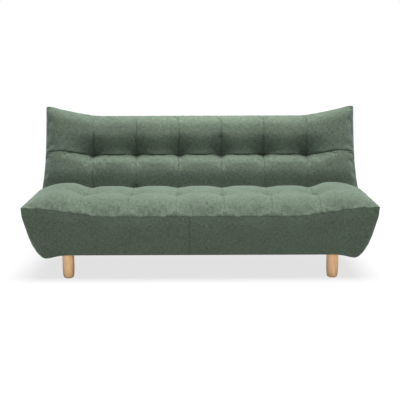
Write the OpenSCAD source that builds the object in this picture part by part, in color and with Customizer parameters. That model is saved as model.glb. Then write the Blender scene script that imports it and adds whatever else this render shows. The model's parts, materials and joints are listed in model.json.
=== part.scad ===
// Futon sofa bed with a click-clack back.
// A sprung timber seat stands on four turned legs. Two steel hinges carry a sprung timber back,
// which tips forward a little to release and then lies flat behind the seat.
// Millimetres. X runs along the sofa, +X to the right as seen from the front, the front faces -Y
// and +Z is up. Inside the modules Y is counted from the seat's front seam, and placed() moves
// everything so that the origin is under the middle of the whole sofa, on the floor.

/* [Seat] */
// Width of the seat over its corner tips
seat_w = 1830; // [1600:10:2000]
// Depth of the seat from its front seam to its rear edge
seat_d = 536; // [516:2:536]
// Height of the seat's crown above the floor
seat_top = 434; // [420:1:450]
// Height of the cushion's underside above the floor
seat_base = 127; // [118:1:132]
// Height of the front seam at the middle of the seat
seam_front = 338; // [320:1:350]
// Height of the front seam at the corner tips
seam_tip = 385; // [370:1:395]
// Height of the rear seam
seam_rear = 392; // [386:1:402]

/* [Back] */
// Lean of the back from upright
lean = 18; // [14:1:22]
// Length of the back from its hinge line to the middle of its top edge
back_len = 495; // [460:5:540]
// How far the top corners stand above the middle of the top edge
ear_rise = 52; // [20:1:70]
// Thickness of the back in front of the hinge line, which is also the radius of its round lower end
back_front = 100; // [95:1:100]
// Thickness of the back behind the hinge line
back_rear = 90; // [85:1:92]

/* [Hinge] */
// Distance of the hinge line behind the front seam
pivot_y = 630; // [630:1:650]
// Height of the hinge line above the floor
pivot_z = 325; // [318:1:335]
// Diameter of the pivot bolt
pivot_d = 12; // [8:1:14]

/* [Legs] */
// Largest diameter of a leg
leg_d = 62; // [50:1:66]
// Diameter of a leg at its foot
foot_d = 48; // [38:1:50]
// Distance between the centres of the front legs
leg_span = 1380; // [1200:10:1400]
// Distance of the rear legs behind the front seam
rear_leg_y = 800; // [790:5:820]

/* [Hidden] */

// Colours
fabric_green = "#637565";
foam_cream = "#E9DFC0";
cloth_black = "#26272A";
timber_pale = "#D9BE92";
timber_leg = "#CFA377";
steel_black = "#2B2C2E";
steel_bright = "#A9ABAE";
rubber_black = "#1D1D1E";
nylon_white = "#E8E6E0";
twine = "#C9B78F";

// Upholstery
cover_t = 2.5;                 // fabric with its backing and wadding skin
cover_gap = 0.2;               // between the cover and the foam
tuft_pitch = 247;              // between neighbouring tufts along X
tuft_count = 6;
tuft_x = [for (i = [0 : tuft_count - 1]) (i - (tuft_count - 1) / 2) * tuft_pitch];
seat_tuft_y = 290;
back_tuft_u = 258;

// Timber frames
rail_t = 24;
rail_h = 70;
frame_half = seat_w / 2 - 145; // half the width over the seat's side rails
frame_z = 140;
frame_y0 = 45;
frame_y1 = 515;
back_frame_half = frame_half + 15;
back_rail_w0 = -80;            // the back's rails lie between these two depths
back_rail_w1 = -20;
back_u0 = 58;
back_u1 = 450;
cross_x = 250;

// Bays in the foam that hold the frames
seat_bay_half = frame_half + 32;
seat_bay_top = 217.2;
back_bay_half = back_frame_half + 14;
back_bay_w = -12.8;
back_bay_u0 = 52;
back_bay_u1 = 456;

// Steel
tube_w = 20;
tube_h = 40;
tube_wall = 2;
post_w = 30;
plate_t = 4;
arm_y0 = 330;
arm_x = frame_half;            // inner face of the arm, against the side rail
seat_plate_x = arm_x + tube_w; // inner face of the seat's hinge plate
back_plate_x = seat_plate_x - 1 - plate_t;
post_x = arm_x + tube_w / 2;
arm_bolt_y = [365, 420, 475];
bolt_r = 4;
bolt_clear = 0.1;

// Hinge, measured from the pivot
pawl_pin = [-62, -40];
lug = pawl_pin + [-15, -50];   // where the spring's far end is held
back_rest = 90 - lean;         // the back's own direction at rest, above the horizontal
ratchet_r = 36;
half_way = 44;                 // how far the back is tipped at its half-way stop
spring_x = back_plate_x - 4.5;

leg_top = frame_z - 3;
glide_h = 3;

function smooth(t) = let (c = min(1, max(0, t))) c * c * (3 - 2 * c);

// ---- Loops and soft solids ----

corner_steps = 4;
side_steps = 8;

// Points between two corners, without either of them.
function between(a, b) = [for (i = [1 : side_steps - 1]) a + (b - a) * i / side_steps];

function corner(cx, cy, r, start) =
    [for (i = [0 : corner_steps]) let (a = start + 90 * i / corner_steps) [cx + r * cos(a), cy + r * sin(a)]];

// A rounded rectangle about X = 0, from y0 to y1, as a list of points.
function loop(half, y0, y1, r) = let (
        c = [corner(half - r, y1 - r, r, 0), corner(r - half, y1 - r, r, 90),
             corner(r - half, y0 + r, r, 180), corner(half - r, y0 + r, r, 270)])
    [for (i = [0 : 3]) each concat(c[i], between(c[i][corner_steps], c[(i + 1) % 4][0]))];

// A closed solid through rings that all have the same number of points, from one pole to the other.
// From ring number fold on, the skin comes back inside itself, so its quads are split the other way.
module ring_solid(top, rings, bottom, fold = 1000) {
    n = len(rings[0]);
    last = len(rings) - 1;
    points = concat([top], [for (ring = rings) each ring], [bottom]);
    end = len(points) - 1;
    faces = concat(
        [for (i = [0 : n - 1]) [0, 1 + (i + 1) % n, 1 + i]],
        [for (k = [0 : last - 1], i = [0 : n - 1])
            let (a = 1 + k * n, b = a + n, j = (i + 1) % n)
            each k < fold ? [[a + i, a + j, b + j], [a + i, b + j, b + i]]
                : [[a + i, a + j, b + i], [a + j, b + j, b + i]]],
        [for (i = [0 : n - 1]) [end, 1 + last * n + i, 1 + last * n + (i + 1) % n]]
    );
    polyhedron(points = points, faces = faces, convexity = 6);
}

// ---- Seat upholstery ----

// Height of the seat's edge seam: it rises to the tips along the front, and to the rear.
function seat_seam(x, y) = let (
        front = seam_front + (seam_tip - seam_front) * smooth((abs(x) - seat_w * 0.3) / (seat_w * 0.2)))
    front + (seam_rear - front) * smooth(y / seat_d);

// The border's levels:
// [share of the way up, how far the side, the front and the rear stand in, corner radius]
seat_border = [[1, 0, 0, 0, 4], [0.8, 3, 1, 8, 14], [0.6, 16, 5, 10, 24], [0.4, 28, 11, 10, 34],
    [0.22, 43, 20, 8, 40], [0.08, 64, 29, 8, 40], [0.02, 84, 35, 8, 34], [0, 98, 38, 8, 30]];
// The crown's levels: [inset, share of the way from the seam to the crown]
seat_crown = [[180, 1], [110, 0.98], [60, 0.82], [25, 0.5], [8, 0.2]];

function seat_ring(half, y0, y1, r, share, e) =
    [for (p = loop(half - e, y0 + e, y1 - e, max(1, r - e)))
        [p[0], p[1], seat_base + e + share * (seat_seam(p[0], p[1]) - seat_base - 2 * e)]];

function seat_crown_ring(inset, share, e) =
    [for (p = loop(seat_w / 2 - inset, inset, seat_d - inset, 4 + inset / 3))
        let (seam = seat_seam(p[0], p[1])) [p[0], p[1], seam + share * (seat_top - seam) - e]];

// The seat's outer skin, drawn in by e: crown first, then the border down to the underside.
function seat_skin(e) = concat(
    [for (c = seat_crown) seat_crown_ring(c[0] + e, c[1], e)],
    [for (b = seat_border) seat_ring(seat_w / 2 - b[1], b[2], seat_d - b[3], b[4], b[0], e)]);

function seat_bay_ring(z) = [for (p = loop(seat_bay_half, frame_y0 - 2, frame_y1 + 2, 1)) [p[0], p[1], z]];

function backwards(list) = [for (i = [len(list) - 1 : -1 : 0]) list[i]];

// Where the arms leave the seat
module seat_slits() {
    both_sides() translate([arm_x - 2, frame_y1 - 10, seat_base - 20])
        cube([tube_w + 4, 60, frame_z + tube_h + 24 - seat_base]);
}

module seat_cover() {
    color(fabric_green) difference() {
        ring_solid([0, seat_d / 2, seat_top],
            concat(seat_skin(0), [seat_bay_ring(seat_base), seat_bay_ring(seat_base + cover_t)],
                backwards(seat_skin(cover_t))),
            [0, seat_d / 2, seat_top - cover_t], len(seat_skin(0)) + 2);
        seat_slits();
    }
}

module seat_foam() {
    e = cover_t + cover_gap;
    color(foam_cream) difference() {
        ring_solid([0, seat_d / 2, seat_top - e],
            concat(seat_skin(e), [seat_bay_ring(seat_base + e), seat_bay_ring(seat_bay_top)]),
            [0, seat_d / 2, seat_bay_top]);
        seat_slits();
        for (x = tuft_x)
            translate([x, seat_tuft_y, seat_bay_top - 10]) cylinder(r = 4, h = seat_top, $fn = 24);
    }
}

module seat_tuft_ties() {
    color(twine) for (x = tuft_x) translate([x, seat_tuft_y, seat_bay_top - 2]) {
        cylinder(r = 14, h = 2, $fn = 32);
        cylinder(r = 1.5, h = 130, $fn = 16);
    }
}

module seat_dust_cloth() {
    color(cloth_black) difference() {
        translate([-seat_bay_half + 1, frame_y0, frame_z - 1.5])
            cube([2 * seat_bay_half - 2, frame_y1 - frame_y0, 1.5]);
        for (side = [-1, 1])
            translate([side * leg_span / 2 - 32, front_leg_y - 36, frame_z - 5]) cube([64, 68, 10]);
    }
}

// ---- Seat frame ----

front_leg_y = 80;

module seat_rail_x(y) {
    translate([-frame_half + rail_t, y, frame_z]) cube([2 * (frame_half - rail_t), rail_t, rail_h]);
}

module seat_front_rail() { color(timber_pale) seat_rail_x(frame_y0); }

module seat_rear_rail() { color(timber_pale) seat_rail_x(frame_y1 - rail_t); }

module seat_side_rail() {
    color(timber_pale) difference() {
        translate([frame_half - rail_t, frame_y0, frame_z]) cube([rail_t, frame_y1 - frame_y0, rail_h]);
        for (y = arm_bolt_y)
            across(frame_half - rail_t - 1, rail_t + 2, y, frame_z + tube_h / 2, bolt_r + bolt_clear);
    }
}

module seat_cross_rails() {
    color(timber_pale) for (x = [-cross_x, cross_x])
        translate([x - rail_t / 2, frame_y0 + rail_t, frame_z])
            cube([rail_t, frame_y1 - frame_y0 - 2 * rail_t, rail_h - 10]);
}

module seat_corner_blocks() {
    inner = leg_span / 2 - 45;
    color(timber_pale) both_sides() difference() {
        translate([inner, frame_y0 + rail_t, frame_z]) cube([frame_half - rail_t - inner, 60, 55]);
        translate([leg_span / 2, front_leg_y, frame_z - 1]) cylinder(r = 5.05, h = 60, $fn = 32);
    }
}

// ---- Springs ----

wire_t = 4;
wave_half = 26;
wave_step = 24;
wave_points = 6;

function wave_at(t, y0) = [wave_half * sin(180 * t), y0 + wave_step * t];
function wave_normal(t) = let (d = [wave_half * PI * cos(180 * t), wave_step]) [-d[1], d[0]] / norm(d);

// One sinuous spring, flat, as an outline either side of its centre line.
module sinuous_spring(y0, y1) {
    turns = floor((y1 - y0) / wave_step);
    steps = turns * wave_points;
    one = [for (i = [0 : steps]) let (t = i / wave_points) wave_at(t, y0) + wave_normal(t) * wire_t / 2];
    two = [for (i = [steps : -1 : 0]) let (t = i / wave_points) wave_at(t, y0) - wave_normal(t) * wire_t / 2];
    linear_extrude(wire_t) polygon(concat(one, two));
}

seat_spring_x = [for (i = [-5 : 5]) i * 136];
back_spring_x = [for (i = [-4 : 4]) i * 170];

module spring_clip() {
    difference() {
        translate([-9, -10, 0]) cube([18, 20, 7]);
        translate([-10, -12, 0]) cube([20, 16, 4.6]);
    }
}

module seat_springs() {
    color(steel_bright) for (x = seat_spring_x)
        translate([x, 0, frame_z + rail_h]) sinuous_spring(frame_y0 + 19, frame_y1 - 19);
}

module seat_spring_clips() {
    z = frame_z + rail_h;
    color(steel_black) for (x = seat_spring_x) {
        translate([x, frame_y0 + 10, z]) mirror([0, 1, 0]) spring_clip();
        translate([x, frame_y1 - 10, z]) spring_clip();
    }
}

// ---- Legs ----

// Half outline of a leg: straight at the top, then drawn in to the foot by a quarter ellipse.
leg_taper = 62;
taper_end = 77.4;              // where the quarter ellipse is cut off, so that the foot still draws in
leg_outline = concat([[0, leg_top], [leg_d / 2 - 1.5, leg_top], [leg_d / 2, leg_top - 6]],
    [for (i = [0 : 8]) let (a = taper_end * i / 8, up = 1 - sin(a) / sin(taper_end))
        [foot_d / 2 + (leg_d - foot_d) / 2 * cos(a), glide_h + 2 + leg_taper * up]],
    [[foot_d / 2 - 3, glide_h], [0, glide_h]]);

module leg(x, y) {
    color(timber_leg) translate([x, y, 0]) difference() {
        rotate_extrude($fn = 64) polygon(leg_outline);
        translate([0, 0, leg_top - 40]) cylinder(r = 5.05, h = 50, $fn = 32);
    }
}

leg_places = [[-leg_span / 2, front_leg_y], [leg_span / 2, front_leg_y],
    [-post_x, rear_leg_y], [post_x, rear_leg_y]];

module leg_plates() {
    color(steel_black) for (p = leg_places) translate([p[0], p[1], leg_top]) difference() {
        translate([-30, -30, 0]) cube([60, 60, frame_z - leg_top]);
        translate([0, 0, -1]) cylinder(r = 5.05, h = 10, $fn = 32);
    }
}

// The screws pass the plates and reach into the corner blocks in front, and into the posts behind.
module leg_bolts() {
    color(steel_bright) for (p = leg_places)
        translate([p[0], p[1], leg_top - 38]) cylinder(r = 5, h = 58, $fn = 32);
}

module foot_glides() {
    color(nylon_white) for (p = leg_places)
        translate([p[0], p[1], 0]) cylinder(r = foot_d / 2 - 5, h = glide_h, $fn = 48);
}

// ---- Rear support ----

module across(x, length, y, z, r) {
    translate([x, y, z]) rotate([0, 90, 0]) cylinder(r = r, h = length, $fn = 32);
}

module support_arm() {
    length = rear_leg_y - post_w / 2 - arm_y0;
    color(steel_black) difference() {
        translate([arm_x, arm_y0, frame_z]) cube([tube_w, length, tube_h]);
        translate([arm_x + tube_wall, arm_y0 - 1, frame_z + tube_wall])
            cube([tube_w - 2 * tube_wall, length + 2, tube_h - 2 * tube_wall]);
        for (y = arm_bolt_y) across(arm_x - 1, tube_w + 2, y, frame_z + tube_h / 2, bolt_r + bolt_clear);
    }
}

post_top = 225;

module rear_post() {
    color(steel_black) translate([post_x, rear_leg_y, frame_z]) difference() {
        translate([-post_w / 2, -post_w / 2, 0]) cube([post_w, post_w, post_top - frame_z]);
        translate([-post_w / 2 + tube_wall, -post_w / 2 + tube_wall, -1])
            cube([post_w - 2 * tube_wall, post_w - 2 * tube_wall, post_top - frame_z - tube_wall + 1]);
    }
}

module rear_cross_tube() {
    half = post_x - post_w / 2;
    color(steel_black) translate([0, rear_leg_y, post_top - post_w / 2]) difference() {
        translate([-half, -post_w / 2, -post_w / 2]) cube([2 * half, post_w, post_w]);
        translate([-half - 1, -post_w / 2 + tube_wall, -post_w / 2 + tube_wall])
            cube([2 * half + 2, post_w - 2 * tube_wall, post_w - 2 * tube_wall]);
    }
}

pad_top = pivot_z - back_rear - 0.4;

module rest_pads() {
    color(rubber_black) for (x = [-400, 0, 400])
        translate([x, rear_leg_y, post_top]) cylinder(r = 13, h = pad_top - post_top, $fn = 32);
}

// A bolt across the sofa with a hexagon head outside and a nut inside.
module cross_bolt(x_head, x_nut, y, z, r) {
    across(x_nut - 8, x_head - x_nut + 8, y, z, r);
    translate([x_head, y, z]) rotate([0, 90, 0]) cylinder(r = r * 1.75, h = r * 1.2, $fn = 6);
    translate([x_nut - 6, y, z]) rotate([0, 90, 0]) cylinder(r = r * 1.75, h = 6, $fn = 6);
}

module both_sides() {
    children();
    mirror([1, 0, 0]) children();
}

module arm_bolts() {
    color(steel_bright) both_sides() for (y = arm_bolt_y)
        cross_bolt(arm_x + tube_w, frame_half - rail_t, y, frame_z + tube_h / 2, bolt_r);
}

// ---- Hinge ----

// Puts a flat outline, drawn as Y and Z, across the sofa between x and x + t.
module flat_plate(x, t) { translate([x, 0, 0]) rotate([90, 0, 90]) linear_extrude(t) children(); }

module at_pivot() { translate([0, pivot_y, pivot_z]) children(); }

module hinge_seat_plate() {
    color(steel_black) at_pivot() difference() {
        flat_plate(seat_plate_x, plate_t) hull() {
            circle(r = 25, $fn = 48);
            translate(pawl_pin) circle(r = 12, $fn = 32);
            translate([-92, frame_z - pivot_z]) square([44, tube_h]);
        }
        across(seat_plate_x - 1, plate_t + 2, 0, 0, pivot_d / 2 + 0.05);
        across(seat_plate_x - 1, plate_t + 2, pawl_pin[0], pawl_pin[1], 4.05);
        across(seat_plate_x - 1, plate_t + 2, lug[0], lug[1], 2.55);
    }
}

// Outline of the pawl about its own pin: a bar with a tooth that stands up at its end.
module pawl_outline() {
    circle(r = 9, $fn = 32);
    translate([-15, -4]) circle(r = 5, $fn = 24);
    polygon([[-15, -9], [0, -9], [56, -7.5], [60, -3], [60, 10.5], [55, 10], [50, 3], [45, -1], [30, 4],
        [0, 9], [-15, 1]]);
}

module pawl() {
    color(steel_bright) at_pivot() translate([0, pawl_pin[0], pawl_pin[1]]) {
        difference() {
            flat_plate(back_plate_x, plate_t) pawl_outline();
            across(back_plate_x - 1, plate_t + 2, 0, 0, 4.05);
        }
        across(back_plate_x - 6, 6, -15, -4, 2);
    }
}

// Room for the pawl's tooth while the back starts to turn, and a smaller notch at the half-way stop
module ratchet_notches() {
    flat_plate(back_plate_x - 1, plate_t + 2) {
        polygon([[-45, 13], [-31, 9], [-23, 4], [-23.5, -1.5], [-29, -17], [-45, -20]]);
        rotate(half_way) polygon([[-45, 7], [-31, 4], [-26, 2], [-26, -1], [-31, -5], [-45, -8]]);
    }
}

back_bolt_at = [[93, -45], [136, -47], [179, -49]];

module hinge_back_plate() {
    color(steel_black) back_frame() difference() {
        union() {
            across(back_plate_x, plate_t, 0, 0, ratchet_r);
            flat_plate(back_plate_x, plate_t)
                polygon([[12, 22], [53, -14], [88, -25], [198, -29], [206, -37], [206, -61], [198, -69],
                    [72, -65], [-10, -21]]);
        }
        ratchet_notches();
        across(back_plate_x - 1, plate_t + 2, 0, 0, pivot_d / 2 + 0.05);
        for (p = back_bolt_at) across(back_plate_x - 1, plate_t + 2, p[0], p[1], bolt_r + bolt_clear);
    }
}

module pivot_bolt() {
    color(steel_bright) at_pivot() {
        across(back_plate_x - 7, plate_t * 2 + 9, 0, 0, pivot_d / 2);
        translate([seat_plate_x + plate_t, 0, 0]) rotate([0, 90, 0]) cylinder(r = 11, h = 7, $fn = 6);
        translate([back_plate_x - 7, 0, 0]) rotate([0, 90, 0]) cylinder(r = 11, h = 6.7, $fn = 6);
    }
}

module pivot_washers() {
    color(nylon_white) both_sides() at_pivot() difference() {
        across(seat_plate_x - 0.9, 0.9, 0, 0, 15);
        across(seat_plate_x - 2, 3, 0, 0, pivot_d / 2 + 0.05);
    }
}

// Pins on the seat's plates: one carries the pawl, the other holds the spring's far end.
module pawl_pins() {
    color(steel_bright) both_sides() at_pivot() {
        across(back_plate_x - 2.5, plate_t * 2 + 4.5, pawl_pin[0], pawl_pin[1], 4);
        across(back_plate_x - 9, plate_t * 2 + 11, lug[0], lug[1], 2.5);
    }
}

coil_r = 3.4;
coil_length = 40.1;
coil_wire = 0.7;
coil_sides = 5;
coil_ring_steps = 8;
coil_turns = 9;

// A helical tension spring, drawn as a tube with a ring every eighth of a turn.
module pawl_spring() {
    rings = coil_turns * coil_ring_steps;
    points = [for (i = [0 : rings]) let (a = 360 * i / coil_ring_steps, z = -coil_length * i / rings)
        for (k = [0 : coil_sides - 1]) let (b = 360 * k / coil_sides, r = coil_r + coil_wire * cos(b))
            [r * cos(a), r * sin(a), z + coil_wire * sin(b)]];
    faces = concat(
        [[for (k = [coil_sides - 1 : -1 : 0]) k]],
        [for (i = [0 : rings - 1], k = [0 : coil_sides - 1])
            let (a = i * coil_sides, b = a + coil_sides, m = (k + 1) % coil_sides)
            each [[a + k, a + m, b + m], [a + k, b + m, b + k]]],
        [[for (k = [0 : coil_sides - 1]) rings * coil_sides + k]]);
    color(steel_bright) at_pivot()
        translate([spring_x, lug[0], pawl_pin[1] - 6.7]) polyhedron(points = points, faces = faces);
}

// ---- Back ----

// The back's own axes: Y runs up the back from the hinge line and Z out of its front.
module back_frame() { at_pivot() rotate([back_rest, 0, 0]) children(); }

// Levels of the back from its seam to its rear:
// [depth, how far the side stands in, top inset, ear share, corner radius]
back_border = [[22, 0, 0, 1, 4], [0, 4, 1, 0.86, 14], [-30, 14, 4, 0.6, 24], [-60, 28, 9, 0.34, 34],
    [-80, 46, 18, 0.14, 38], [-88, 62, 27, 0.04, 34], [-back_rear, 74, 33, 0, 30]];
// Crown levels: [depth, inset]
back_crown = [[back_front, 170], [back_front - 1, 110], [back_front - 8, 62], [back_front - 30, 26], [44, 8]];

function round_end(w) = -sqrt(max(0, back_front * back_front - w * w));

// The ears: the outer part of the top edge rises to the corners.
function ear(x, u) = ear_rise * smooth((abs(x) - seat_w * 0.33) / (seat_w * 0.17)) * smooth(u / back_len);

function back_ring(half, u0, u1, r, w, ears, e) =
    [for (p = loop(half - e, u0 + e, u1 - e, max(1, r - e))) [p[0], p[1] + ears * ear(p[0], p[1]), w]];

function back_skin(e) = concat(
    [for (c = back_crown) back_ring(seat_w / 2 - c[1], round_end(c[0]) + c[1] * 0.4, back_len - c[1],
        4 + c[1] / 3, c[0] - e, 0.9, e)],
    [for (b = back_border) let (w = max(b[0], e - back_rear))
        back_ring(seat_w / 2 - b[1], round_end(b[0]), back_len - b[2], b[4], w, b[3], e)]);

function back_bay_ring(w) = [for (p = loop(back_bay_half, back_bay_u0, back_bay_u1, 1)) [p[0], p[1], w]];

// Room for the hinge plates and the pawl, at every position of the back
module hinge_slots() {
    both_sides() flat_plate(back_plate_x - 9, plate_t * 2 + 20) {
        circle(r = 58, $fn = 64);
        translate([0, -78]) square([60, 90]);
        polygon(concat([[0, 0]], [for (a = [112 : 10 : 272]) 150 * [cos(a), sin(a)]]));
    }
}

module back_cover() {
    color(fabric_green) back_frame() difference() {
        ring_solid([0, back_len * 0.45, back_front],
            concat(back_skin(0), [back_bay_ring(-back_rear), back_bay_ring(cover_t - back_rear)],
                backwards(back_skin(cover_t))),
            [0, back_len * 0.45, back_front - cover_t], len(back_skin(0)) + 2);
        hinge_slots();
    }
}

module back_foam() {
    e = cover_t + cover_gap;
    color(foam_cream) back_frame() difference() {
        ring_solid([0, back_len * 0.45, back_front - e],
            concat(back_skin(e), [back_bay_ring(e - back_rear), back_bay_ring(back_bay_w)]),
            [0, back_len * 0.45, back_bay_w]);
        hinge_slots();
        for (x = tuft_x) translate([x, back_tuft_u, back_bay_w - 10]) cylinder(r = 4, h = 160, $fn = 24);
    }
}

module back_panel() {
    color(fabric_green) back_frame() translate([1 - back_bay_half, back_bay_u0 + 1, -back_rear])
        cube([2 * back_bay_half - 2, back_bay_u1 - back_bay_u0 - 2, 1.5]);
}

module back_tuft_ties() {
    color(twine) back_frame() for (x = tuft_x) translate([x, back_tuft_u, back_bay_w - 2]) {
        cylinder(r = 14, h = 2, $fn = 32);
        cylinder(r = 1.5, h = 14, $fn = 16);
    }
}

back_rail_d = back_rail_w1 - back_rail_w0;

module back_rail_x(u) {
    color(timber_pale) back_frame() translate([-back_frame_half + rail_t, u, back_rail_w0])
        cube([2 * (back_frame_half - rail_t), rail_t, back_rail_d]);
}

module back_bottom_rail() { back_rail_x(back_u0); }

module back_top_rail() { back_rail_x(back_u1 - rail_t); }

module back_side_rail() {
    color(timber_pale) back_frame() difference() {
        translate([back_frame_half - rail_t, back_u0, back_rail_w0])
            cube([rail_t, back_u1 - back_u0, back_rail_d]);
        for (p = back_bolt_at)
            across(back_frame_half - rail_t - 1, rail_t + 2, p[0], p[1], bolt_r + bolt_clear);
    }
}

module back_stretchers() {
    color(timber_pale) back_frame() for (x = [-cross_x, cross_x])
        translate([x - rail_t / 2, back_u0 + rail_t, back_rail_w0])
            cube([rail_t, back_u1 - back_u0 - 2 * rail_t, back_rail_d - 12]);
}

module back_springs() {
    color(steel_bright) back_frame() for (x = back_spring_x)
        translate([x, 0, back_rail_w1]) sinuous_spring(back_u0 + 17, back_u1 - 17);
}

module back_spring_clips() {
    color(steel_black) back_frame() for (x = back_spring_x) {
        translate([x, back_u0 + 10, back_rail_w1]) mirror([0, 1, 0]) spring_clip();
        translate([x, back_u1 - 10, back_rail_w1]) spring_clip();
    }
}

module back_plate_bolts() {
    color(steel_bright) back_frame() both_sides() for (p = back_bolt_at)
        cross_bolt(back_plate_x + plate_t, back_frame_half - rail_t, p[0], p[1], bolt_r);
}

// ---- Whole sofa ----

overall_d = pivot_y + max([for (b = back_border)
    (back_len - b[2]) * sin(lean) - b[0] * cos(lean)]);

module placed() { translate([0, -overall_d / 2, 0]) children(); }
module left() { placed() mirror([1, 0, 0]) children(); }
module right() { placed() children(); }

placed() seat_cover();
placed() seat_foam();
placed() seat_dust_cloth();
placed() seat_tuft_ties();
placed() seat_front_rail();
placed() seat_rear_rail();
left() seat_side_rail();  // seat_side_rail_left
right() seat_side_rail();  // seat_side_rail_right
placed() seat_cross_rails();
placed() seat_corner_blocks();
placed() seat_springs();
placed() seat_spring_clips();
placed() leg(leg_places[0][0], leg_places[0][1]);  // leg_front_left
placed() leg(leg_places[1][0], leg_places[1][1]);  // leg_front_right
placed() leg(leg_places[2][0], leg_places[2][1]);  // leg_rear_left
placed() leg(leg_places[3][0], leg_places[3][1]);  // leg_rear_right
placed() leg_plates();
placed() leg_bolts();
placed() foot_glides();
left() support_arm();  // support_arm_left
right() support_arm();  // support_arm_right
left() rear_post();  // rear_post_left
right() rear_post();  // rear_post_right
placed() rear_cross_tube();
placed() rest_pads();
placed() arm_bolts();
left() hinge_seat_plate();  // hinge_seat_plate_left
right() hinge_seat_plate();  // hinge_seat_plate_right
left() pivot_bolt();  // pivot_bolt_left
right() pivot_bolt();  // pivot_bolt_right
placed() pivot_washers();
placed() pawl_pins();
left() pawl_spring();  // pawl_spring_left
right() pawl_spring();  // pawl_spring_right
left() pawl();  // pawl_left
right() pawl();  // pawl_right
placed() back_cover();
placed() back_foam();
placed() back_panel();
placed() back_tuft_ties();
placed() back_bottom_rail();
placed() back_top_rail();
left() back_side_rail();  // back_side_rail_left
right() back_side_rail();  // back_side_rail_right
placed() back_stretchers();
placed() back_springs();
placed() back_spring_clips();
left() hinge_back_plate();  // hinge_back_plate_left
right() hinge_back_plate();  // hinge_back_plate_right
placed() back_plate_bolts();
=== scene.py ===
"""Looks of the futon sofa bed.

Metres. The sofa stands at the origin, faces -Y, and +Z is up. The quilted seat and back, the foam inside them
and the back's rear panel are new surfaces. Frame, springs, hinges and legs are the frame's own nodes.
"""

import json
import math

import bpy
import numpy as np
from mathutils import Matrix, Vector


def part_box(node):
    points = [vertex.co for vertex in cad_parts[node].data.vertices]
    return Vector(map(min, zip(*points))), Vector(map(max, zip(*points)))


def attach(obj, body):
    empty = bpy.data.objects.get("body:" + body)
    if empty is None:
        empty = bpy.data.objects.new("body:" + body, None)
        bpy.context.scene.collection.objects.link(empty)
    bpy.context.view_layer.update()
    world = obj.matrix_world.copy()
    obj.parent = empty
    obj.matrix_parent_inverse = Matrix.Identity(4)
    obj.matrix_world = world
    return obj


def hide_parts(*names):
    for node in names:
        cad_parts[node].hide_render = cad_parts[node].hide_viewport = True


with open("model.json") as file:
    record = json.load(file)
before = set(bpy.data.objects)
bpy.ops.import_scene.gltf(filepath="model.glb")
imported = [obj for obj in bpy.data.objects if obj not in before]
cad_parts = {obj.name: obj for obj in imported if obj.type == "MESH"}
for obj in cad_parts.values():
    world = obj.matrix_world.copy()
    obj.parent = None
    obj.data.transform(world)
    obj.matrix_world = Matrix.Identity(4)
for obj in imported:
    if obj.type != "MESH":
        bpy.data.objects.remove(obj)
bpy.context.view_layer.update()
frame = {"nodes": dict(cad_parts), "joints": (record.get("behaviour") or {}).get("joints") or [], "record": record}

# ---- Sizes that the pieces share ----

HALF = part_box("seat_cover")[1][0]                    # half the sofa's width
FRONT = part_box("seat_cover")[0][1]                   # the seat's front seam
SEAT_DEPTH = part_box("seat_cover")[1][1] - FRONT
SEAT_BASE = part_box("seat_cover")[0][2]
HINGE = [j for j in frame["joints"] if j["name"] == "back_recline"][0]["pos_m"]
LEAN = math.radians(18)
TUFT_PITCH = 0.247
TUFTS = (np.arange(6) - 2.5) * TUFT_PITCH
SEAT_TUFT_Y = 0.290
BACK_TUFT_U = 0.258
FABRIC_T = 0.0025


def smooth(t):
    """Rises from 0 to 1 with level ends: three t squared less two t cubed."""
    t = np.clip(t, 0, 1)
    return t * t * (3 - 2 * t)


def shoulder(d, reach, power):
    """A quarter wave raised to a power: steep at the seam and level at a distance of reach from it."""
    return np.sin(np.pi / 2 * np.clip(d / reach, 0, 1)) ** power


def valley(d, half_width):
    """A smooth dip, 1 at its line and 0 beyond half_width, as half a cosine wave."""
    return 0.5 + 0.5 * np.cos(np.pi * np.clip(np.abs(d) / half_width, 0, 1))


# ---- Block skins: a block of cells whose outer nodes are moved to the surface of a cushion ----

def stations(*stops):
    """Positions along one side of a block: pairs of a position and the number of cells that lead up to it.

    Each run is closer at both its ends, where the seams are: t less a sine of one whole turn over t."""
    runs = []
    for (a, _), (b, n) in zip(stops, stops[1:]):
        t = np.linspace(0, 1, n + 1)[1:]
        runs.append(a + (b - a) * (t - 0.65 * np.sin(2 * np.pi * t) / (2 * np.pi)))
    return np.concatenate([[stops[0][0]], *runs])


def block_skin(nx, ny, nz):
    """Integer nodes on the outside of a block, each once, and its quads, with faces outwards.

    Each of the six faces is a grid of cells. A node's key is its place in the whole block, and equal keys are
    merged, so the skin is closed."""
    size = np.array([nx, ny, nz])
    quads, sides = [], []
    for axis in range(3):
        p, q = (axis + 1) % 3, (axis + 2) % 3
        gp, gq = np.meshgrid(np.arange(size[p]), np.arange(size[q]), indexing="ij")
        for end in (0, 1):
            corners = [(0, 0), (1, 0), (1, 1), (0, 1)]
            corners = corners if end else corners[::-1]
            node = np.zeros((gp.size, 4, 3), int)
            for c, (dp, dq) in enumerate(corners):
                node[:, c, p] = gp.ravel() + dp
                node[:, c, q] = gq.ravel() + dq
                node[:, c, axis] = end * size[axis]
            quads.append(node)
            sides.append(np.full(len(node), axis * 2 + end))
    quads = np.concatenate(quads)
    keys = (quads[..., 0] * (ny + 1) + quads[..., 1]) * (nz + 1) + quads[..., 2]
    unique, inverse = np.unique(keys, return_inverse=True)
    nodes = np.stack([unique // ((ny + 1) * (nz + 1)), unique // (nz + 1) % (ny + 1), unique % (nz + 1)], 1)
    return nodes, inverse.reshape(-1, 4), np.concatenate(sides)


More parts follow.
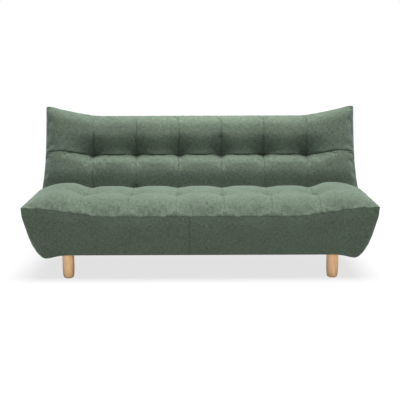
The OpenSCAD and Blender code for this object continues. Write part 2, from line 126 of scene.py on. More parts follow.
def make_mesh(name, points, quads, uv=None, **weights):
    """A mesh object at the origin from arrays of points, quads, corner UVs and named point values."""
    mesh = bpy.data.meshes.new(name)
    mesh.from_pydata(points.tolist(), [], quads.tolist())
    if uv is not None:
        layer = mesh.uv_layers.new(name="cloth")
        layer.data.foreach_set("uv", uv.reshape(-1).astype(np.float32))
    for key, values in weights.items():
        layer = mesh.attributes.new(key, "FLOAT", "POINT")
        layer.data.foreach_set("value", np.asarray(values, np.float32))
    mesh.polygons.foreach_set("use_smooth", np.ones(len(quads), bool))
    mesh.update()
    piece = bpy.data.objects.new(name, mesh)
    bpy.context.scene.collection.objects.link(piece)
    return piece


def co_of(mesh):
    """The mesh's points as an array."""
    points = np.empty(len(mesh.vertices) * 3, np.float32)
    mesh.vertices.foreach_get("co", points)
    return points.reshape(-1, 3).astype(float)


def round_corners(x, y, half, y0, y1, r):
    """Moves the nodes of a rectangle so that its corners are arcs of radius r.

    In each corner's square, a node's offset from the arc's centre is scaled by its larger part over its length."""
    cx = np.clip(np.abs(x), 0, half - r)
    cy = np.clip(y, y0 + r, y1 - r)
    dx, dy = np.abs(x) - cx, y - cy
    length = np.hypot(dx, dy)
    scale = np.where(length > 1e-9, np.maximum(dx, np.abs(dy)) / np.maximum(length, 1e-9), 1)
    return np.sign(x) * (cx + dx * scale), cy + dy * scale


def quilt(x, v, row, column, across, tuft):
    """Depth of the quilting below the crown at x and v, and how near each point is to a seam.

    Column is the depth, half width and reach of the dip along each vertical seam: half a cosine wave across it,
    fading as a Gaussian away from the tuft down to a seventh. Across is the depth and the half widths below and
    above of the dip along the seam at row, which is shallower between tufts and beyond the last ones. Tuft is the
    depth of the pointed dent, and its radii sideways, below and above. A stitched line adds a narrow crease, which
    is fainter beyond the last tufts."""
    to_column = np.min(np.abs(x[:, None] - TUFTS), axis=1)
    to_row = v - row
    ends = smooth((np.abs(x) - TUFTS[-1]) / 0.20)
    near_tuft = np.exp(-((to_row / column[2]) ** 2))
    depth = column[0] * (0.15 + 0.85 * near_tuft) * valley(to_column, column[1])
    between = 1 - 0.12 * smooth(to_column / (TUFT_PITCH / 2))
    depth += across[0] * between * (1 - 0.88 * ends) * valley(to_row, np.where(to_row < 0, across[1], across[2]))
    r = np.hypot(to_column / tuft[1], to_row / np.where(to_row < 0, tuft[2], tuft[3]))
    depth += tuft[0] * np.exp(-(r ** 1.2))
    stitched = np.maximum((0.45 + 0.55 * near_tuft) * np.exp(-to_column / 0.0024),
                          (1 - 0.4 * ends) * np.exp(-np.abs(to_row) / 0.0026))
    return depth + 0.0020 * stitched, stitched


def pucker(x, v, row, reach, height):
    """Small folds that run out from each tuft: a wave around the tuft that fades with the distance from it."""
    tuft = TUFTS[np.argmin(np.abs(x[:, None] - TUFTS), axis=1)]
    dx, dv = x - tuft, v - row
    r = np.hypot(dx, dv)
    angle = np.arctan2(dv, dx)
    wave = np.sin(9 * angle + 3 * np.sin(tuft * 40)) * np.sin(4 * angle + 1.3)
    return height * wave * np.exp(-(((r - reach) / reach) ** 2))


# ---- Seat ----

# Share of the way up the border, then how far its side, front and rear stand in, and its corner radius
SEAT_BORDER = np.array([[0, .098, .038, .008, .030], [.02, .084, .035, .008, .034], [.08, .064, .029, .008, .040],
                        [.22, .043, .020, .008, .040], [.4, .028, .011, .010, .034], [.6, .016, .005, .010, .024],
                        [.8, .003, .001, .008, .014], [1, 0, 0, 0, .004]])
SEAT_BAY_HALF, SEAT_BAY_TOP = 0.802, 0.2172
BORDER_JOIN = -0.055                  # where the front border's two lengths of fabric are joined


def seat_seam_height(x, y):
    """Height of the edge seam: level across the front, rising in a smooth step to the tips and to the rear."""
    front = 0.335 + 0.048 * smooth((np.abs(x) - 0.45) / 0.45)
    return front + (0.392 - front) * smooth(y / SEAT_DEPTH)


def seat_row(x):
    """Where the seam between the seat's two rows runs: it swings forward a little between tufts."""
    to_column = np.min(np.abs(x[:, None] - TUFTS), axis=1)
    return SEAT_TUFT_Y + 0.008 * smooth(to_column / (TUFT_PITCH / 2))


def seat_shape(xs, ys, cs):
    """Points, quads, UVs, nearness to seams and creases for painted shade, fixed nodes and block places of the seat's
    skin.

    The top is a crown over the edge seam, raised by a shoulder at each side and lowered by the quilting. The
    border narrows downwards as the table says, and the underside turns up into the bay over the frame."""
    nodes, quads, sides = block_skin(len(xs) - 1, len(ys) - 1, len(cs) - 1)
    i, j, k = nodes.T
    xa, ya, c = xs[i], ys[j], cs[k]
    ins, front, rear, radius = (np.interp(c, SEAT_BORDER[:, 0], SEAT_BORDER[:, n]) for n in (1, 2, 3, 4))
    half = HALF - ins
    y0, y1 = front, SEAT_DEPTH - rear
    x = xa / HALF * half
    y = y0 + ya / SEAT_DEPTH * (y1 - y0)
    y += (seat_row(xa) - SEAT_TUFT_Y) * valley(ya - SEAT_TUFT_Y, 0.15)
    x, y = round_corners(x, y, half, y0, y1, radius)
    seam = seat_seam_height(x, y)
    hang = 0.018 * np.exp(-(((np.abs(x) - 0.80) / 0.055) ** 2)) * (1 - c) ** 2
    z = SEAT_BASE + c * (seam - SEAT_BASE) - hang

    # the border's fabric is full, and bulges a little between its seams
    on_side = (k > 0) & (k < len(cs) - 1)
    along_x = np.sin(np.pi * ya / SEAT_DEPTH)
    along_y = np.sin(np.pi * (0.5 + xa / HALF / 2)) ** 0.5
    swell = 0.007 * np.sin(np.pi * np.clip(c, 0, 1)) * on_side
    x += np.sign(x) * swell * along_x * ((i == 0) | (i == len(xs) - 1))
    y -= swell * along_y * (j == 0)

    top = k == len(cs) - 1
    rise = shoulder(y, 0.135, 0.72) * shoulder(SEAT_DEPTH - y, 0.10, 0.6) * shoulder(HALF - np.abs(x), 0.17, 0.85)
    crest = 0.426 - 0.002 * y / SEAT_DEPTH + 0.020 * smooth((np.abs(x) - 0.60) / 0.12)
    depth, pinch = quilt(x, y, seat_row(x), (0.016, 0.085, 0.22), (0.020, 0.11, 0.11), (0.026, 0.05, 0.04, 0.04))
    depth = depth - pucker(x, y, SEAT_TUFT_Y, 0.035, 0.0025)
    edge = shoulder(y, 0.05, 1) * shoulder(SEAT_DEPTH - y, 0.05, 1) * shoulder(HALF - np.abs(x), 0.05, 1)
    z = np.where(top, seam + (crest - seam) * rise - depth * edge, z)
    pinch = np.where(top, pinch, 0)

    # underside: ring 1 lies at the bay's edge, and the rest is the bay's roof
    under = k == 0
    ring = np.minimum.reduce([i, len(xs) - 1 - i, j, len(ys) - 1 - j])
    inner = under & (ring >= 1)
    x = np.where(inner, np.sign(xa) * np.minimum(np.abs(xa) / abs(xs[1]) * SEAT_BAY_HALF, SEAT_BAY_HALF), x)
    y = np.where(inner, np.interp(ya, [ys[1], ys[-2]], [0.043, 0.517]), y)
    z = np.where(inner, np.where(ring >= 2, SEAT_BAY_TOP + FABRIC_T / 2, SEAT_BASE), z)

    # painted shade mask: 1 on the top's edge seam and the border's corners, the stitched creases' nearness elsewhere,
    # and a line at the border's join
    seam_shade = np.where(top & ((i == 0) | (i == len(xs) - 1) | (j == 0) | (j == len(ys) - 1)), 1.0, pinch)
    corner = on_side & ((i == 0) | (i == len(xs) - 1)) & ((j == 0) | (j == len(ys) - 1))
    seam_shade = np.where(corner, 1.0, seam_shade)
    join = on_side & (j == 0)
    seam_shade = np.where(join, np.maximum(seam_shade, 0.8 * np.exp(-np.abs(x - BORDER_JOIN) / 0.0028)), seam_shade)
    to_tuft = np.abs(ya - SEAT_TUFT_Y)
    sewn = top & ((np.min(np.abs(xa[:, None] - TUFTS), axis=1) < 0.0005) & (to_tuft < 0.09) | (to_tuft < 0.0005))
    fixed = ~top | sewn | (ring == 0)
    points = np.stack([x, y, z], 1)
    flat = np.stack([xa, ya, c * 0.25], 1)[quads]
    uv = np.where((sides[:, None, None] < 2), flat[..., [1, 2]],
                  np.where(sides[:, None, None] < 4, flat[..., [0, 2]], flat[..., [0, 1]]))
    points[:, 1] += FRONT
    return points, quads, uv, seam_shade, fixed, nodes


# ---- Back, in its own axes: u runs up the back from the hinge line and w out of its front ----

# Depth w, then how far the side stands in, the top's inset, the share of the ears and the corner radius
BACK_BORDER = np.array([[-.090, .074, .033, 0, .030], [-.088, .062, .027, .04, .034], [-.080, .046, .018, .14, .038],
                        [-.060, .028, .009, .34, .034], [-.030, .014, .004, .60, .024], [0, .004, .001, .86, .014],
                        [.022, 0, 0, 1, .012]])
BACK_LEN = 0.495
BACK_SEAM = 0.022
BACK_FRONT = 0.094
ROUND_END = 0.0985
ROW_SHARE = 0.600                     # the lattice row that lies on the seam between the back's two rows
BACK_BAY = (0.799, 0.052, 0.456)      # the opening for the frame: half width, bottom and top
PANEL_RECESS = 0.0035
SLOT = (0.774, 0.806, 0.058)          # where the hinge plates pass, and the radius that the slot goes in to
SLOT_SECTOR = (114, 270)              # the directions from the hinge line that the slot is open to, in degrees
FOAM_SPARE = 0.005                    # how much wider the foam's slots are than the cover's, on each side
SPARE_TURN = 1500                     # degrees that the sector opens on each side for a metre of spare


def half_width(u):
    """Half the width of the back: least at a third of its height, and wider to the tips and to the seat."""
    to_tips = 0.004 * ((u - 0.29) / 0.26) ** 2
    to_seat = 0.020 * np.clip((0.29 - u) / 0.25, 0, 1) ** 2
    return HALF - 0.013 + np.where(u > 0.29, to_tips, to_seat)


def ear(x):
    """How far the top edge stands above its middle: nothing over two thirds of the width, then up to blunt tips."""
    return 0.058 * np.clip((np.abs(x) - 0.59) / 0.295, 0, 1) ** 1.3


def back_row(x):
    """Height of the seam between the back's two rows: it sags a little between tufts and climbs to the sides."""
    to_column = np.min(np.abs(x[:, None] - TUFTS), axis=1)
    ends = smooth((np.abs(x) - TUFTS[-1]) / 0.20)
    return BACK_TUFT_U - 0.0065 * smooth(to_column / (TUFT_PITCH / 2)) + 0.0185 * ends


def to_row_frame(x, u, w):
    """Turns the back's own axes into the sofa's, leaning back by LEAN from upright about the hinge line."""
    s, c = math.sin(LEAN), math.cos(LEAN)
    return np.stack([x, HINGE[1] + u * s - w * c, HINGE[2] + u * c + w * s], 1)


def from_row_frame(points):
    """The inverse of to_row_frame."""
    s, c = math.sin(LEAN), math.cos(LEAN)
    y, z = points[:, 1] - HINGE[1], points[:, 2] - HINGE[2]
    return points[:, 0], y * s + z * c, -y * c + z * s


def back_shape(xs, bs, cs):
    """Points, quads, UVs, nearness to seams and creases for painted shade, fixed nodes and block places of the back's
    skin.

    The front is a crown over the edge seam, raised by shoulders and lowered by the quilting. Below the hinge line
    it is held inside a cylinder about that line. The border follows the table to the flat rear, which is let in
    by PANEL_RECESS where the rear panel lies."""
    nodes, quads, sides = block_skin(len(xs) - 1, len(bs) - 1, len(cs) - 1)
    i, j, k = nodes.T
    xa, b, w = xs[i], bs[j], cs[k]
    ins, top_in, share, radius = (np.interp(w, BACK_BORDER[:, 0], BACK_BORDER[:, n]) for n in (1, 2, 3, 4))
    u0 = -np.sqrt(np.maximum(ROUND_END ** 2 - w ** 2, 0))
    u1 = BACK_LEN - top_in + share * ear(xa)
    row = back_row(xa)
    u = np.where(b < ROW_SHARE, u0 + (row - u0) * b / ROW_SHARE, row + (u1 - row) * (b - ROW_SHARE) / (1 - ROW_SHARE))
    half = half_width(u) - ins
    fold = 0.815
    outer = fold + (np.abs(xa) - fold) * (half - fold) / (HALF - fold)
    x = np.sign(xa) * np.where(np.abs(xa) < fold, np.abs(xa), outer)
    x, u = round_corners(x, u, half, u0, u1, radius)

    top = k == len(cs) - 1
    d_side, d_top = half_width(u) - np.abs(x), BACK_LEN + ear(x) - u
    rise = shoulder(d_side, 0.12, 0.55) * shoulder(d_top, 0.085, 0.5)
    depth, pinch = quilt(x, u, back_row(x), (0.009, 0.050, 0.07), (0.036, 0.052, 0.125), (0.032, 0.052, 0.034, 0.036))
    side_seam = np.exp(-np.abs(d_side - 0.017) / 0.0028) * smooth((u + 0.05) / 0.05)
    pinch = np.maximum(pinch, side_seam)
    depth += 0.0022 * side_seam
    depth = depth - pucker(x, u, BACK_TUFT_U, 0.035, 0.0025)
    edge = shoulder(d_side, 0.05, 1) * shoulder(d_top, 0.06, 1) * smooth((u + 0.02) / 0.06)
    tuck = 0.020 * smooth((0.165 - u) / 0.13)
    crown = BACK_SEAM + (BACK_FRONT - BACK_SEAM) * rise - depth * edge - tuck
    cap = np.where(u < 0, np.sqrt(np.maximum(ROUND_END ** 2 - np.minimum(u, 0) ** 2, BACK_SEAM ** 2)), 1)
    w = np.where(top, np.minimum(crown, cap), w)
    pinch = np.where(top, pinch, 0)

    perimeter = (i == 0) | (i == len(xs) - 1) | (j == len(bs) - 1)
    # painted shade mask: 1 on the edge seam and corners, the stitched creases' and side seam's nearness elsewhere
    seam_shade = np.where(top & perimeter, 1.0, pinch)
    corner = (k > 0) & ((i == 0) | (i == len(xs) - 1)) & (j == len(bs) - 1)
    seam_shade = np.where(corner, 1.0, seam_shade)
    rear = k == 0
    to_bay = np.minimum.reduce([BACK_BAY[0] - np.abs(x), u - BACK_BAY[1], BACK_BAY[2] - u])
    w = np.where(rear, w + PANEL_RECESS * smooth(to_bay / 0.012), w)
    on_column = (np.min(np.abs(xa[:, None] - TUFTS), axis=1) < 0.0005) & (np.abs(b - ROW_SHARE) < 0.12)
    sewn = top & (on_column | (np.abs(b - ROW_SHARE) < 0.0005))
    fixed = ~top | sewn | perimeter | (u < 0.03)
    flat = np.stack([xa, b * 0.6, cs[k]], 1)[quads]
    uv = np.where((sides[:, None, None] < 2), flat[..., [1, 2]],
                  np.where(sides[:, None, None] < 4, flat[..., [0, 2]], flat[..., [0, 1]]))
    return to_row_frame(x, u, w), quads, uv, seam_shade, fixed, nodes


def cut_slots(piece, spare=0.0):
    """Opens the slots for the hinge plates: nodes of the slot's width whose direction from the hinge line lies in
    the slot's sector move in to the slot's radius. Spare makes the slot wider by that much on each side, deeper by
    twice as much, and its sector wider by SPARE_TURN times as many degrees on each side."""
    mesh = piece.data
    x, u, w = from_row_frame(co_of(mesh))
    r, angle = np.hypot(u, w), np.degrees(np.arctan2(w, u)) % 360
    turn = spare * SPARE_TURN
    depth = SLOT[2] - 2 * spare
    inside = ((np.abs(x) > SLOT[0] - spare) & (np.abs(x) < SLOT[1] + spare)
              & (angle > SLOT_SECTOR[0] - turn) & (angle < SLOT_SECTOR[1] + turn) & (r > depth))
    scale = np.where(inside, depth / np.maximum(r, 1e-6), 1)
    mesh.vertices.foreach_set("co", to_row_frame(x, u * scale, w * scale).astype(np.float32).ravel())
    mesh.update()


X_SEAT = stations((-HALF, 0), (TUFTS[0], 34), (TUFTS[1], 28), (TUFTS[2], 28), (BORDER_JOIN, 12), (TUFTS[3], 20),
                  (TUFTS[4], 28), (TUFTS[5], 28), (HALF, 34))
X_BACK = stations((-HALF, 0), (-0.806, 14), (-0.803, 1), (-0.777, 4), (-0.774, 1), (TUFTS[0], 18),
                  *[(t, 28) for t in TUFTS[1:]], (0.774, 18), (0.777, 1), (0.803, 4), (0.806, 1), (HALF, 14))
Y_SEAT = stations((0, 0), (SEAT_TUFT_Y, 34), (SEAT_DEPTH, 28))
C_SEAT = stations((0, 0), (1, 28))
B_BACK = stations((0, 0), (ROW_SHARE, 44), (1, 24))
W_BACK = stations((-0.090, 0), (BACK_SEAM, 14))


def swelling(shape, stations_used, pressure, cap):
    """How far each node of a coarse cover moves when it is blown up as cloth, on the whole block of its nodes.

    The cover is held along its sewn lines and pushed outwards by even pressure. A move longer than cap is cut
    to cap. The answer is a four-way array: three places in the block, then X, Y and Z."""
    points, quads, _, _, fixed, nodes = shape(*stations_used)
    piece = make_mesh("coarse_cover", points, quads)
    group = piece.vertex_groups.new(name="sewn")
    group.add(np.flatnonzero(fixed).tolist(), 1.0, "REPLACE")
    cloth = piece.modifiers.new("cloth", "CLOTH")
    settings = cloth.settings
    settings.quality = 5
    settings.mass = 0.3
    settings.tension_stiffness = settings.compression_stiffness = 12
    settings.shear_stiffness = 4
    settings.bending_stiffness = 0.4
    settings.shrink_min = -0.03
    settings.use_pressure = True
    settings.uniform_pressure_force = pressure
    settings.vertex_group_mass = group.name
    settings.effector_weights.gravity = 0
    cloth.collision_settings.use_collision = False
    cloth.point_cache.frame_start, cloth.point_cache.frame_end = 1, 20
    for frame_number in range(1, 21):
        bpy.context.scene.frame_set(frame_number)
    swollen = co_of(piece.evaluated_get(bpy.context.evaluated_depsgraph_get()).data)
    bpy.context.scene.frame_set(1)
    bpy.data.objects.remove(piece)
    move = swollen - points
    length = np.linalg.norm(move, axis=1, keepdims=True)
    field = np.zeros((*[len(s) for s in stations_used], 3))
    field[tuple(nodes.T)] = move * np.minimum(1, cap / np.maximum(length, 1e-9))
    return field


def spread(field, nodes):
    """The moves of a coarse block at the nodes of one with twice as many cells each way.

    A fine node halfway between coarse ones takes their mean: along each axis in turn, the mean of the coarse node
    at or below it and the one at or above it."""
    low, high = nodes // 2, (nodes + 1) // 2
    total = np.zeros((len(nodes), 3))
    for corner in range(8):
        pick = [np.where(corner >> axis & 1, high[:, axis], low[:, axis]) for axis in range(3)]
        total += field[tuple(pick)]
    return total / 8


def subdivide(piece):
    """Applies one level of subdivision."""
    finer = piece.modifiers.new("finer", "SUBSURF")
    finer.levels = finer.render_levels = 1
    bpy.context.view_layer.objects.active = piece
    bpy.ops.object.modifier_apply(modifier=finer.name)


def declare(piece, body, slot, fill, *nodes):
    """Hangs a padded piece on the body it rides on and hides the frame's nodes that it takes the place of."""
    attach(piece, body)
    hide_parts(*nodes)
    return piece


def cover_and_foam(names, shape, lines, depth):
    """An upholstered cover and the foam under it, from one lattice that swells as cloth.

    The cover is the fine skin, subdivided once. The foam is the coarse skin, every point drawn in by depth against
    the mean normal of its quads."""
    coarse = [line[::2] for line in lines]
    points, quads, uv, seam, _, nodes = shape(*lines)
    inner, inner_quads, _, _, _, inner_nodes = shape(*coarse)
    field = swelling(shape, coarse, 4.0, 0.006)
    points = points + spread(field, nodes)
    inner = inner + field[tuple(inner_nodes.T)]
    inner[:, 0] -= np.sign(inner[:, 0]) * 0.010 * smooth((np.abs(inner[:, 0]) - 0.80) / 0.09)
    # the seam values ride on the cover as its seam attribute, where the fabric paints shade
    skin = make_mesh(names[0], points, quads, uv, seam=seam)
    subdivide(skin)
    a, b, c, d = (inner[inner_quads[:, n]] for n in range(4))
    face_normal = np.cross(c - a, d - b)
    normal = np.zeros_like(inner)
    for n in range(4):
        np.add.at(normal, inner_quads[:, n], face_normal)
    normal /= np.maximum(np.linalg.norm(normal, axis=1, keepdims=True), 1e-12)
    return skin, make_mesh(names[1], inner - normal * depth, inner_quads)


seat, seat_block = cover_and_foam(("seat_upholstery", "seat_foam_block"), seat_shape, (X_SEAT, Y_SEAT, C_SEAT), 0.006)
declare(seat, "base", "fabric", 0.8, "seat_cover")
declare(seat_block, "base", "foam", 0.9, "seat_foam")
back, back_block = cover_and_foam(("back_upholstery", "back_foam_block"), back_shape, (X_BACK, B_BACK, W_BACK), 0.006)
declare(back, "backrest", "fabric", 0.8, "back_cover")
declare(back_block, "backrest", "foam", 0.9, "back_foam")
cut_slots(back)
cut_slots(back_block, FOAM_SPARE)


def rear_panel():
    """The panel that closes the back's rear: a thin skin with a hem, drawn a little in between its stretchers.

    Its depth is level on the hem and dips by half a cosine towards the middle of each of three fields."""
    xs = np.linspace(-BACK_BAY[0] + 0.001, BACK_BAY[0] - 0.001, 181)
    us = np.linspace(BACK_BAY[1] + 0.001, BACK_BAY[2] - 0.001, 49)
    nodes, quads, sides = block_skin(len(xs) - 1, len(us) - 1, 1)
    i, j, k = nodes.T
    x, u = xs[i], us[j]
    to_edge = np.minimum.reduce([xs[-1] - np.abs(x), u - us[0], us[-1] - u])
    inward = smooth((to_edge - 0.014) / 0.05)
    field = 0.5 - 0.5 * np.cos(2 * np.pi * np.clip(np.abs(x) / 0.25, 0, 1)) + smooth((np.abs(x) - 0.25) / 0.2)
    ripple = 0.0006 * np.sin(x * 46 + 3 * np.sin(u * 11)) * np.sin(u * 21 + x * 3)
    hem = np.exp(-(((to_edge - 0.012) / 0.0018) ** 2))
    w = -0.0901 + inward * (0.0012 * np.clip(field, 0, 1) + ripple) + 0.0007 * hem + 0.0012 * k
    # painted shade along the hem and the panel's outer edge
    seam = np.maximum(hem, np.where(to_edge < 0.0005, 1, 0))
    uv = np.stack([x, u], 1)[quads]
    piece = make_mesh("back_rear_panel", to_row_frame(x, u, w), quads, uv, seam=seam)
    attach(piece, "backrest")
    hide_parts("back_panel")
    return piece


panel = rear_panel()


# ---- Shader graphs ----

class Value:
    """One number output of a node. Arithmetic on it adds Math nodes."""

    def __init__(self, graph, socket):
        self.graph, self.socket = graph, socket

    def math(self, operation, *others, clamp=False):
        return self.graph.node("ShaderNodeMath", {"operation": operation, "use_clamp": clamp}, self, *others)

    def __add__(self, other): return self.math("ADD", other)
    def __radd__(self, other): return self.math("ADD", other)
    def __mul__(self, other): return self.math("MULTIPLY", other)
    def __rmul__(self, other): return self.math("MULTIPLY", other)
    def __sub__(self, other): return self.math("SUBTRACT", other)
    def __rsub__(self, other): return self.graph.node("ShaderNodeMath", {"operation": "SUBTRACT"}, other, self)

    def between(self, low, high):
        """0 at low and 1 at high, held to that range."""
        return ((self - low) * (1 / (high - low))).math("ADD", 0.0, clamp=True)


class Graph:
    """The node graph of one material."""

    def __init__(self, name):
        self.material = bpy.data.materials.new(name)
        self.material.use_nodes = True
        self.tree = self.material.node_tree
        self.shader = self.tree.nodes["Principled BSDF"]

    def node(self, kind, settings=None, *values, out=0, **named):
        """Adds a node, sets its settings, feeds its inputs by order or by name and returns one output."""
        made = self.tree.nodes.new(kind)
        for key, value in (settings or {}).items():
            setattr(made, key, value)
        pairs = list(enumerate(values)) + list(named.items())
        for key, value in pairs:
            if isinstance(key, str):
                key = key.replace("_", " ")
            socket = made.inputs[key]
            if isinstance(value, Value):
                self.tree.links.new(value.socket, socket)
            else:
                socket.default_value = value
        return Value(self, made.outputs[out])

    def mix(self, fac, a, b):
        """Mixes two colours by fac."""
        made = self.tree.nodes.new("ShaderNodeMix")
        made.data_type = "RGBA"
        for place, value in ((0, fac), (6, a), (7, b)):
            if isinstance(value, Value):
                self.tree.links.new(value.socket, made.inputs[place])
            else:
                made.inputs[place].default_value = value if place == 0 else (*value, 1)
        return Value(self, made.outputs[2])

    def stretched(self, vector, scale):
        """A coordinate with each axis multiplied by its own scale."""
        return self.node("ShaderNodeVectorMath", {"operation": "MULTIPLY"}, vector, scale)

    def noise(self, vector, scale, detail=2.0, rough=0.5, distortion=0.0):
        """Even noise between 0 and 1 over the given coordinate."""
        return self.node("ShaderNodeTexNoise", {}, Vector=vector, Scale=scale, Detail=detail, Roughness=rough,
                         Distortion=distortion)

    def finish(self, colour, roughness, bump=None, strength=0.3, distance=0.001, **fixed):
        """Feeds the shader, with a bump where a height is given."""
        for socket, value in (("Base Color", colour), ("Roughness", roughness)):
            if isinstance(value, Value):
                self.tree.links.new(value.socket, self.shader.inputs[socket])
            else:
                self.shader.inputs[socket].default_value = (*value, 1) if socket == "Base Color" else value
        if bump is not None:
            normal = self.node("ShaderNodeBump", {}, Strength=strength, Distance=distance, Height=bump)
            self.tree.links.new(normal.socket, self.shader.inputs["Normal"])
        for key, value in fixed.items():
            self.shader.inputs[key.replace("_", " ")].default_value = value
        return self.material


def linear(r, g, b):
    """A colour given in 0 to 255 display values, as linear light."""
    c = np.array([r, g, b]) / 255
    return tuple(np.where(c <= 0.04045, c / 12.92, ((c + 0.055) / 1.055) ** 2.4).tolist())


def woven_green():
    """Heathered chenille: soft blotches, slubs along both threads, a fine weave, and painted shade along seams,
    stitched creases, corners and hems.
    """
    g = Graph("woven_green")
    uv = g.node("ShaderNodeUVMap", {"uv_map": "cloth"})
    # nearness to a seam, stitched crease, corner or hem, read from the mesh to paint shade there
    seam = g.node("ShaderNodeAttribute", {"attribute_name": "seam"}, out=2)
    warp = g.noise(g.stretched(uv, (330, 45, 1)), 1.0, 2.0, 0.6)
    weft = g.noise(g.stretched(uv, (45, 330, 1)), 1.0, 2.0, 0.6)
    blotch = g.noise(uv, 75.0, 3.0, 0.6)
    cloud = g.noise(uv, 7.0, 2.0, 0.5)
    fine = g.noise(uv, 620.0, 1.0, 0.5)
    tone = warp * 0.34 + weft * 0.34 + blotch * 0.22 + cloud * 0.10
    colour = g.mix(tone.between(0.36, 0.64), linear(54, 63, 52), linear(104, 118, 103))
    colour = g.mix(fine.between(0.3, 0.7) * 0.35, colour, linear(48, 57, 46))
    # painted shade: the colour darkens towards linear(30, 37, 29) along seams, stitched creases, corners and hems
    colour = g.mix(seam * 0.5, colour, linear(30, 37, 29))
    height = warp * 0.5 + weft * 0.5 + fine * 0.4
    return g.finish(colour, 0.92, height, 0.55, 0.0012, Sheen_Weight=0.45, Sheen_Roughness=0.45,
                    Sheen_Tint=(*linear(192, 214, 202), 1), Specular_IOR_Level=0.15)


def turned_wood():
    """Varnished honey wood turned on a lathe: grain along the leg, darker where rings meet the surface."""
    g = Graph("turned_wood")
    place = g.node("ShaderNodeTexCoord", {}, out=3)
    grain = g.noise(g.stretched(place, (95, 95, 6)), 1.0, 5.0, 0.6, 0.6)
    rings = g.noise(g.stretched(place, (22, 22, 1.6)), 1.0, 2.0, 0.5, 1.2)
    pores = g.noise(g.stretched(place, (900, 900, 30)), 1.0, 1.0, 0.5)
    colour = g.mix(grain.between(0.3, 0.7), linear(255, 216, 166), linear(252, 197, 140))
    colour = g.mix(rings.between(0.45, 0.62) * 0.4, colour, linear(230, 170, 112))
    colour = g.mix(pores.between(0.58, 0.75) * 0.25, colour, linear(160, 112, 72))
    return g.finish(colour, grain * 0.12 + 0.36, grain * 0.4 + pores * 0.6, 0.15, 0.0006, Coat_Weight=0.25,
                    Coat_Roughness=0.25)


def sawn_wood():
    """Planed pine for the frame, with long soft grain and a few darker streaks."""
    g = Graph("sawn_wood")
    place = g.node("ShaderNodeTexCoord", {}, out=3)
    grain = g.noise(g.stretched(place, (3, 70, 70)), 1.0, 4.0, 0.6, 0.8)
    streak = g.noise(g.stretched(place, (1.2, 16, 16)), 1.0, 2.0, 0.5, 0.5)
    fur = g.noise(place, 700.0, 1.0, 0.5)
    colour = g.mix(grain.between(0.3, 0.7), linear(226, 198, 152), linear(196, 158, 108))
    colour = g.mix(streak.between(0.52, 0.7) * 0.5, colour, linear(170, 122, 76))
    return g.finish(colour, grain * 0.15 + 0.62, grain * 0.6 + fur * 0.4, 0.3, 0.0008)


def metal(name, colour, rough, grain_scale, worn, coat=0.0, metallic=1.0):
    """Metal or paint on metal: a fine speckle in the roughness and a soft change of tone from handling."""
    g = Graph(name)
    place = g.node("ShaderNodeTexCoord", {}, out=3)
    speck = g.noise(place, grain_scale, 2.0, 0.6)
    smear = g.noise(place, 14.0, 2.0, 0.6)
    tone = g.mix(smear.between(0.35, 0.7) * 0.5, colour, worn)
    return g.finish(tone, speck * 0.2 + smear * 0.1 + (rough - 0.15), speck, 0.12, 0.0004, Metallic=metallic,
                    Coat_Weight=coat)


def foam_cells():
    """Cream upholstery foam: fine open cells with a slight yellowing in patches."""
    g = Graph("foam_cells")
    place = g.node("ShaderNodeTexCoord", {}, out=3)
    cells = g.node("ShaderNodeTexVoronoi", {}, Vector=place, Scale=420.0)
    patch = g.noise(place, 5.0, 2.0, 0.5)
    colour = g.mix(patch.between(0.35, 0.65), linear(236, 226, 196), linear(222, 204, 158))
    colour = g.mix(cells.between(0.0, 0.5) * 0.3, linear(190, 172, 128), colour)
    return g.finish(colour, 0.95, cells, 0.5, 0.0012)


def felted_black():
    """Black non-woven cloth under the seat, with a faint print of bonding dots and loose fibres."""
    g = Graph("felted_black")
    place = g.node("ShaderNodeTexCoord", {}, out=3)
    dots = g.node("ShaderNodeTexVoronoi", {}, Vector=place, Scale=380.0)
    fibre = g.noise(g.stretched(place, (120, 700, 700)), 1.0, 2.0, 0.7)
    colour = g.mix(fibre.between(0.4, 0.7) * 0.5, linear(34, 34, 36), linear(62, 62, 64))
    return g.finish(colour, 0.9, dots * 0.5 + fibre * 0.5, 0.4, 0.0008)


def twisted_twine():
    """Twine of two strands: slanted bands round the cord."""
    g = Graph("twisted_twine")
    place = g.node("ShaderNodeTexCoord", {}, out=3)
    strand = g.node("ShaderNodeTexWave", {"bands_direction": "DIAGONAL"}, Vector=place, Scale=260.0, Distortion=1.0)
    fuzz = g.noise(place, 900.0, 2.0, 0.6)
    colour = g.mix(strand * 0.7, linear(206, 190, 150), linear(150, 132, 94))
    return g.finish(colour, 0.9, strand * 0.7 + fuzz * 0.3, 0.5, 0.0008)


def moulded(name, light, dark, rough, scale):
    """Rubber or nylon with a fine moulded texture and slight scuffs."""
    g = Graph(name)
    place = g.node("ShaderNodeTexCoord", {}, out=3)
    grain = g.noise(place, scale, 2.0, 0.6)
    scuff = g.noise(g.stretched(place, (60, 25, 25)), 1.0, 3.0, 0.7)
    colour = g.mix(scuff.between(0.45, 0.7) * 0.4, light, dark)
    return g.finish(colour, grain * 0.15 + rough, grain, 0.2, 0.0004)


FABRIC = woven_green()
FINISHES = {
    "fabric": FABRIC,
    "foam": foam_cells(),
    "dust_cloth": felted_black(),
    "twine": twisted_twine(),
    "spring_steel": metal("spring_steel", linear(150, 152, 154), 0.42, 500.0, linear(118, 116, 114)),
    "black_steel": metal("black_steel", linear(36, 37, 39), 0.5, 900.0, linear(54, 54, 56), 0.1, 0.0),
    "bright_steel": metal("bright_steel", linear(196, 197, 194), 0.34, 350.0, linear(160, 158, 148)),
    "rubber": moulded("rubber", linear(32, 32, 33), linear(52, 52, 52), 0.72, 600.0),
    "nylon": moulded("nylon", linear(232, 230, 222), linear(206, 203, 192), 0.4, 500.0),
    "leg_wood": turned_wood(),
    "frame_wood": sawn_wood(),
}

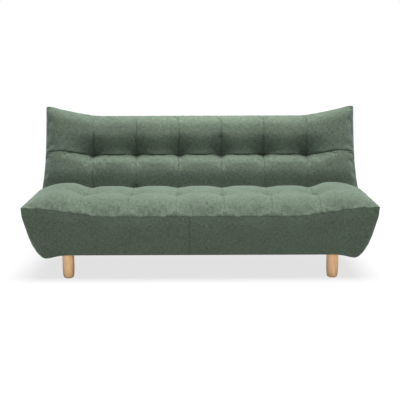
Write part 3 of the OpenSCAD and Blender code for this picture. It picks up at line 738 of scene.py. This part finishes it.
for row in frame["record"]["subparts"]:
    mesh = frame["nodes"][row["node"]].data
    mesh.materials.clear()
    mesh.materials.append(FINISHES[row["material_slot"]])
for piece in (seat, back, panel):
    piece.data.materials.append(FABRIC)
for piece in (seat_block, back_block):
    piece.data.materials.append(FINISHES["foam"])


# ---- Floor, light and camera ----

FLOOR_GLOW = 0.7                      # the share of the floor's look that is plain light to the camera
GLOW_STRENGTH = 1.06

def stage_floor():
    """A plain pale floor, wide enough that its far edge is at eye level.

    To the camera, FLOOR_GLOW of it is plain white light, so that the shadow on it is faint."""
    corners = np.array([[-90, -90, 0], [90, -90, 0], [90, 90, 0], [-90, 90, 0]], float)
    floor = make_mesh("floor", corners, np.array([[0, 1, 2, 3]]))
    g = Graph("pale_floor")
    material = g.finish(linear(179, 179, 179), 0.85, Specular_IOR_Level=0.1)
    tree = material.node_tree
    path, glow, both, share = (tree.nodes.new("ShaderNode" + kind)
                               for kind in ("LightPath", "Emission", "MixShader", "Math"))
    glow.inputs["Strength"].default_value = GLOW_STRENGTH
    share.operation = "MULTIPLY"
    share.inputs[1].default_value = FLOOR_GLOW
    output = next(node for node in tree.nodes if node.type == "OUTPUT_MATERIAL")
    matt = output.inputs["Surface"].links[0].from_socket
    tree.links.new(path.outputs["Is Camera Ray"], share.inputs[0])
    tree.links.new(share.outputs[0], both.inputs[0])
    tree.links.new(matt, both.inputs[1])
    tree.links.new(glow.outputs[0], both.inputs[2])
    tree.links.new(both.outputs[0], output.inputs["Surface"])
    floor.data.materials.append(material)


def overhead_light(strength, spread, toward_front, toward_right):
    """A very soft light from high above, tipped towards the front and the right by the given degrees."""
    light = bpy.data.lights.new("overhead", "SUN")
    light.energy, light.angle = strength, math.radians(spread)
    lamp = bpy.data.objects.new("overhead", light)
    lamp.rotation_euler = (math.radians(-toward_front), math.radians(toward_right), 0)
    bpy.context.scene.collection.objects.link(lamp)


def soft_box(place, target, size, power):
    """A square soft light at place, turned to face target."""
    light = bpy.data.lights.new("soft_box", "AREA")
    light.shape, light.size, light.energy = "SQUARE", size, power
    lamp = bpy.data.objects.new("soft_box", light)
    lamp.location = place
    lamp.rotation_euler = (Vector(target) - Vector(place)).to_track_quat("-Z", "Y").to_euler()
    bpy.context.scene.collection.objects.link(lamp)


def studio(light, backdrop):
    """Even white light from all round, in front of a white backdrop."""
    world = bpy.data.worlds.new("studio")
    world.use_nodes = True
    tree = world.node_tree
    seen, around = tree.nodes["Background"], tree.nodes.new("ShaderNodeBackground")
    path, choice = tree.nodes.new("ShaderNodeLightPath"), tree.nodes.new("ShaderNodeMixShader")
    for node, strength in ((seen, backdrop), (around, light)):
        node.inputs["Color"].default_value = (1, 1, 1, 1)
        node.inputs["Strength"].default_value = strength
    tree.links.new(path.outputs["Is Camera Ray"], choice.inputs[0])
    tree.links.new(around.outputs[0], choice.inputs[1])
    tree.links.new(seen.outputs[0], choice.inputs[2])
    tree.links.new(choice.outputs[0], tree.nodes["World Output"].inputs["Surface"])
    bpy.context.scene.world = world


def set_camera():
    """The camera: 4.24 m in front of the seat, 1.11 m up, tipped down 9.2 degrees and turned 0.2 in its frame."""
    camera = bpy.data.cameras.new("camera")
    camera.lens, camera.sensor_width = 76.26, 36
    holder = bpy.data.objects.new("camera", camera)
    turn = Matrix.Rotation(math.radians(90 - 9.19), 4, "X") @ Matrix.Rotation(math.radians(-0.196), 4, "Z")
    holder.matrix_world = Matrix.Translation((-0.0009, FRONT - 4.244, 1.109)) @ turn
    bpy.context.scene.collection.objects.link(holder)
    bpy.context.scene.camera = holder


stage_floor()
set_camera()
overhead_light(6.4, 36, -1, 5)
soft_box((0.08, 0.0, 1.65), (0.0, 0.05, 0.45), 0.7, 13)
soft_box((0.30, -3.6, 0.8), (0.0, 0.0, 0.2), 1.8, 14)
studio(0.23, 1.0)
bpy.context.scene.view_settings.view_transform = "Standard"
